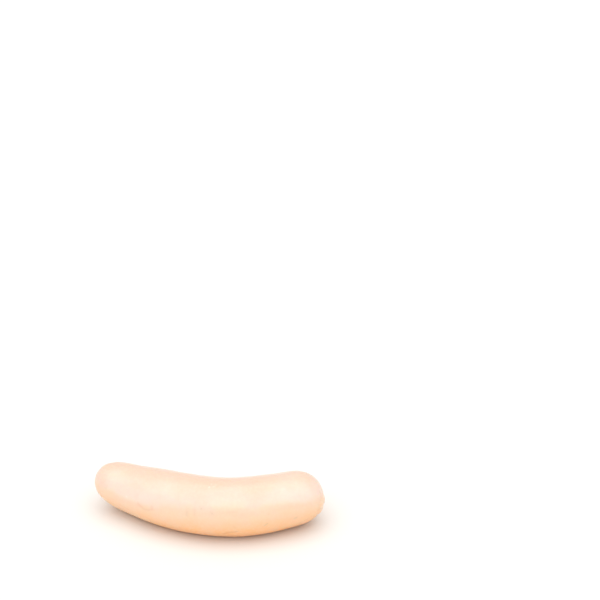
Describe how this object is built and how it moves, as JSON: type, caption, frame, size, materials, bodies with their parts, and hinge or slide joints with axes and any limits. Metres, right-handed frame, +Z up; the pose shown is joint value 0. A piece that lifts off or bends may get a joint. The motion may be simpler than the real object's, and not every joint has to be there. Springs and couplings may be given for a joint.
{
  "type": "white sausage",
  "caption": "Plump pale cooked sausage, gently bent, with smooth moist skin gathered into a small puckered knot at each rounded end.",
  "frame": {"origin": "on the surface that the sausage lies on, under the middle of its box", "axes": "+X from the thinner end to the blunt end, +Y towards the hollow side of the bend, +Z up"},
  "size_m": [0.1278, 0.044, 0.0303],
  "materials": {
    "skin": "pale cooked sausage skin, creamy to peach, faintly mottled, moist with a soft satin sheen"
  },
  "bodies": {
    "root": {"sausage": "skin"}
  },
  "joints": []
}
